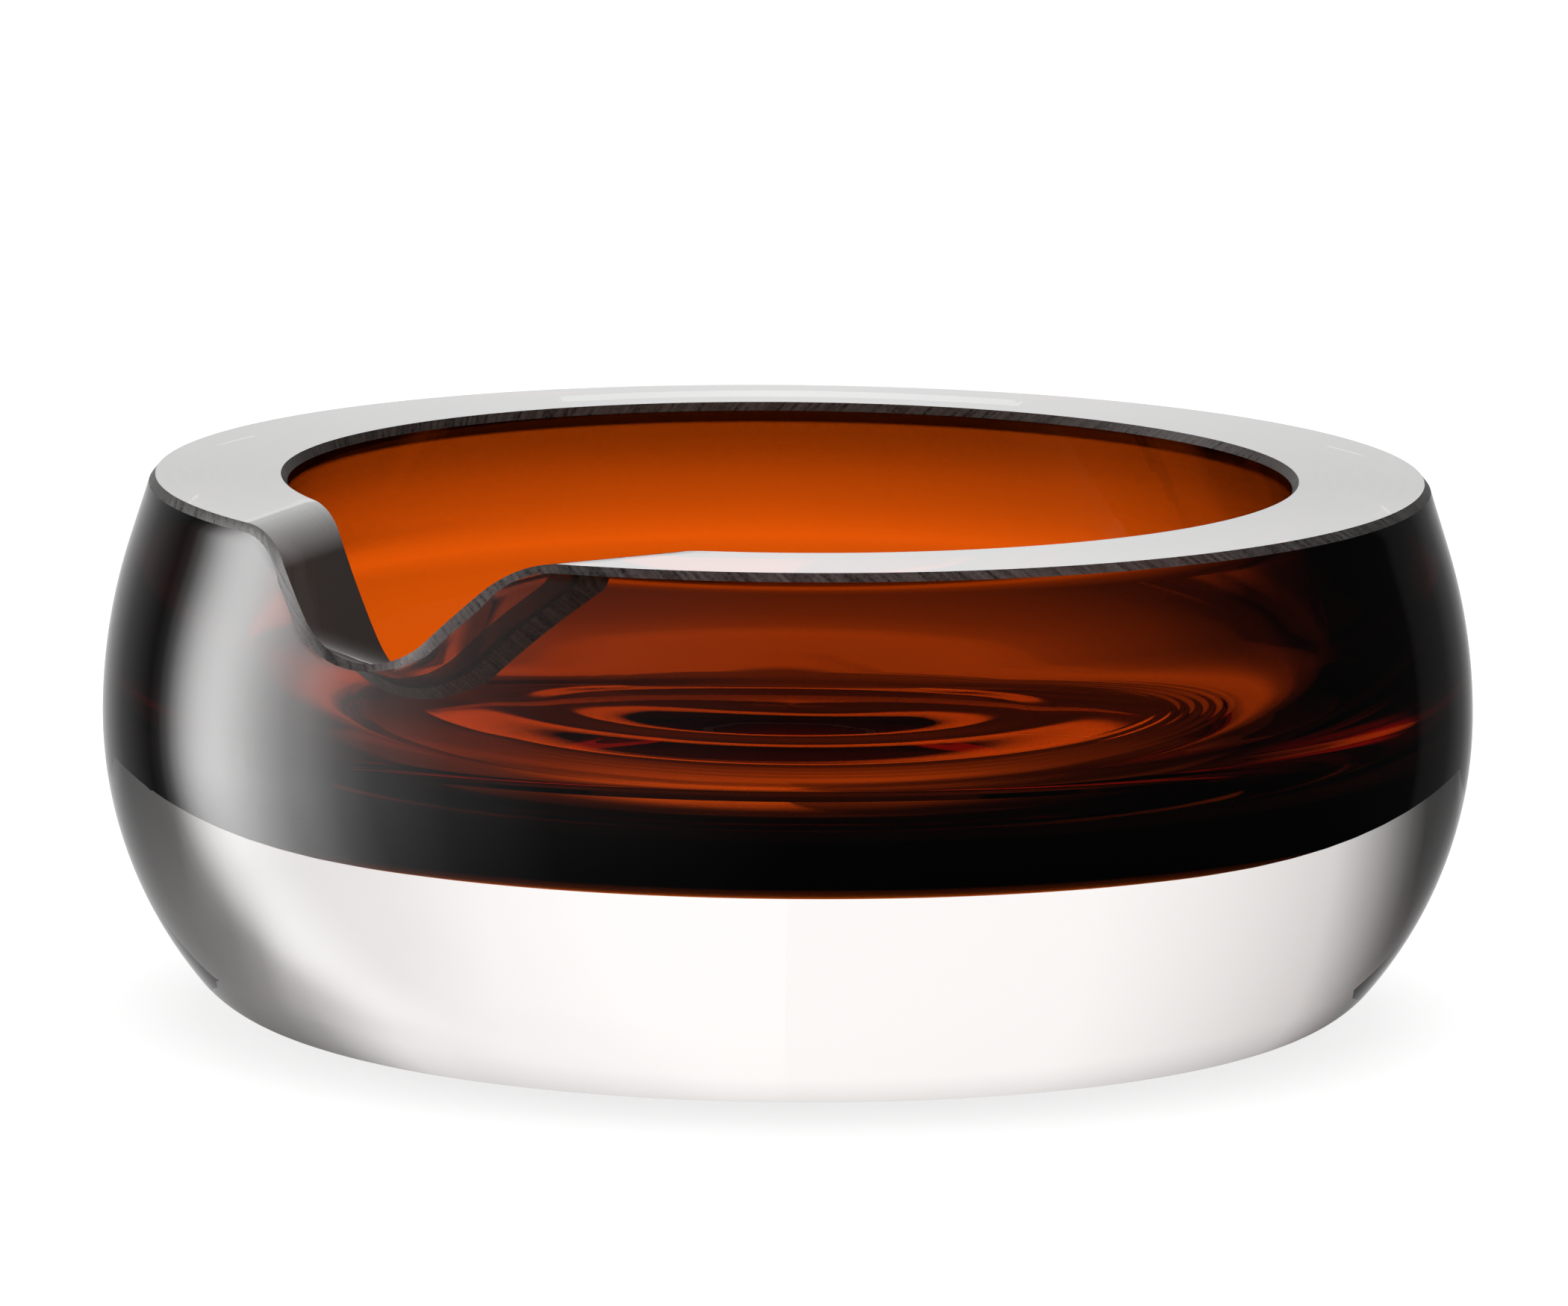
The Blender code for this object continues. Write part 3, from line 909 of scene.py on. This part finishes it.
def floor():
    mesh = bpy.data.meshes.new("floor")
    signs = ((-1, -1), (1, -1), (1, 1), (-1, 1))
    points = [(x * STAGE_HALF, y * STAGE_HALF, -STAGE_DROP) for x, y in signs]
    mesh.from_pydata(points, [], [(0, 1, 2, 3)])
    mesh.materials.append(floor_material())
    plane = bpy.data.objects.new("floor", mesh)
    plane.visible_glossy = False
    plane.visible_transmission = False
    bpy.context.collection.objects.link(plane)


def lamp():
    data = bpy.data.lights.new("overhead", "AREA")
    data.shape = "RECTANGLE"
    data.size = LAMP_SIZE
    data.size_y = LAMP_SIZE
    data.energy = LAMP_ENERGY
    light = bpy.data.objects.new("overhead", data)
    light.location = LAMP_PLACE
    light.visible_glossy = False
    light.visible_transmission = False
    bpy.context.collection.objects.link(light)


def camera():
    data = bpy.data.cameras.new("camera")
    data.sensor_width = SENSOR_WIDTH
    data.lens = SENSOR_WIDTH * FOCAL_PIXELS / IMAGE_WIDTH
    data.clip_start = CLIP_START
    data.clip_end = CLIP_END
    forward = Vector((0.0, math.cos(CAMERA_ELEVATION), -math.sin(CAMERA_ELEVATION)))
    level_up = Vector((0.0, math.sin(CAMERA_ELEVATION), math.cos(CAMERA_ELEVATION)))
    side = Vector((1.0, 0.0, 0.0))
    right = side * math.cos(CAMERA_ROLL) + level_up * math.sin(CAMERA_ROLL)
    up = level_up * math.cos(CAMERA_ROLL) - side * math.sin(CAMERA_ROLL)
    turn = Matrix((right, up, -forward)).transposed()
    eye = bpy.data.objects.new("camera", data)
    eye.matrix_world = Matrix.Translation(CAMERA_AIM - forward * CAMERA_DISTANCE) @ turn.to_4x4()
    bpy.context.collection.objects.link(eye)
    bpy.context.scene.camera = eye


def dress(piece, node):
    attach(piece, "root")
    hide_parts(node)


def main():
    for old in list(bpy.data.objects):
        bpy.data.objects.remove(old)
    scene = bpy.context.scene
    scene.view_settings.view_transform = "Standard"
    scene.cycles.max_bounces = MAX_BOUNCES
    scene.cycles.transmission_bounces = MAX_BOUNCES
    scene.cycles.glossy_bounces = GLOSSY_BOUNCES
    scene.cycles.transparent_max_bounces = TRANSPARENT_BOUNCES
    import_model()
    glass_materials = [
        clear_glass(),
        ground_glass("outer_bevel", *OUTER_BEVEL),
        ground_glass("inner_bevel", *INNER_BEVEL),
        polished_rim(),
    ]
    glass = loft_round_axis("glass_body", glass_section, glass_materials, glass_slot, glass_side)
    ease_base_edge(glass.data)
    amber = loft_round_axis("amber_cup", amber_section, [amber_glass()], amber_slot, amber_side)
    amber.visible_diffuse = False
    dress(glass, "clear_casing")
    dress(amber, "amber_lining")
    studio_world()
    floor()
    lamp()
    camera()


main()
